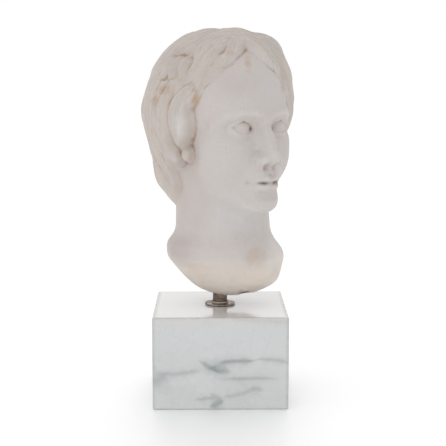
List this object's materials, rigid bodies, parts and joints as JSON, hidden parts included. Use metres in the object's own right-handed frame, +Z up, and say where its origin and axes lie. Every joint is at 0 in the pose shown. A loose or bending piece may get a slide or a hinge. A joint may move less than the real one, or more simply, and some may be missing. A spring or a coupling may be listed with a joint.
{
  "type": "marble bust of a youth",
  "caption": "Half life-size marble head of a youth with wavy parted hair, on a steel post over a square veined marble block.",
  "frame": {"origin": "centre of the block's underside", "axes": "+Z up along the post, -Y out of the block's front face, +X to the viewer's right; the head is turned about 37 degrees from -Y towards +X"},
  "size_m": [0.1048, 0.1064, 0.2516],
  "materials": {
    "head": "aged matt marble with ochre in its recesses",
    "block": "honed white marble with grey-green veins",
    "post": "dark satin steel",
    "washer": "dark satin steel"
  },
  "bodies": {
    "root": {"head": "head", "block": "block", "post": "post", "washer": "washer"}
  },
  "joints": []
}
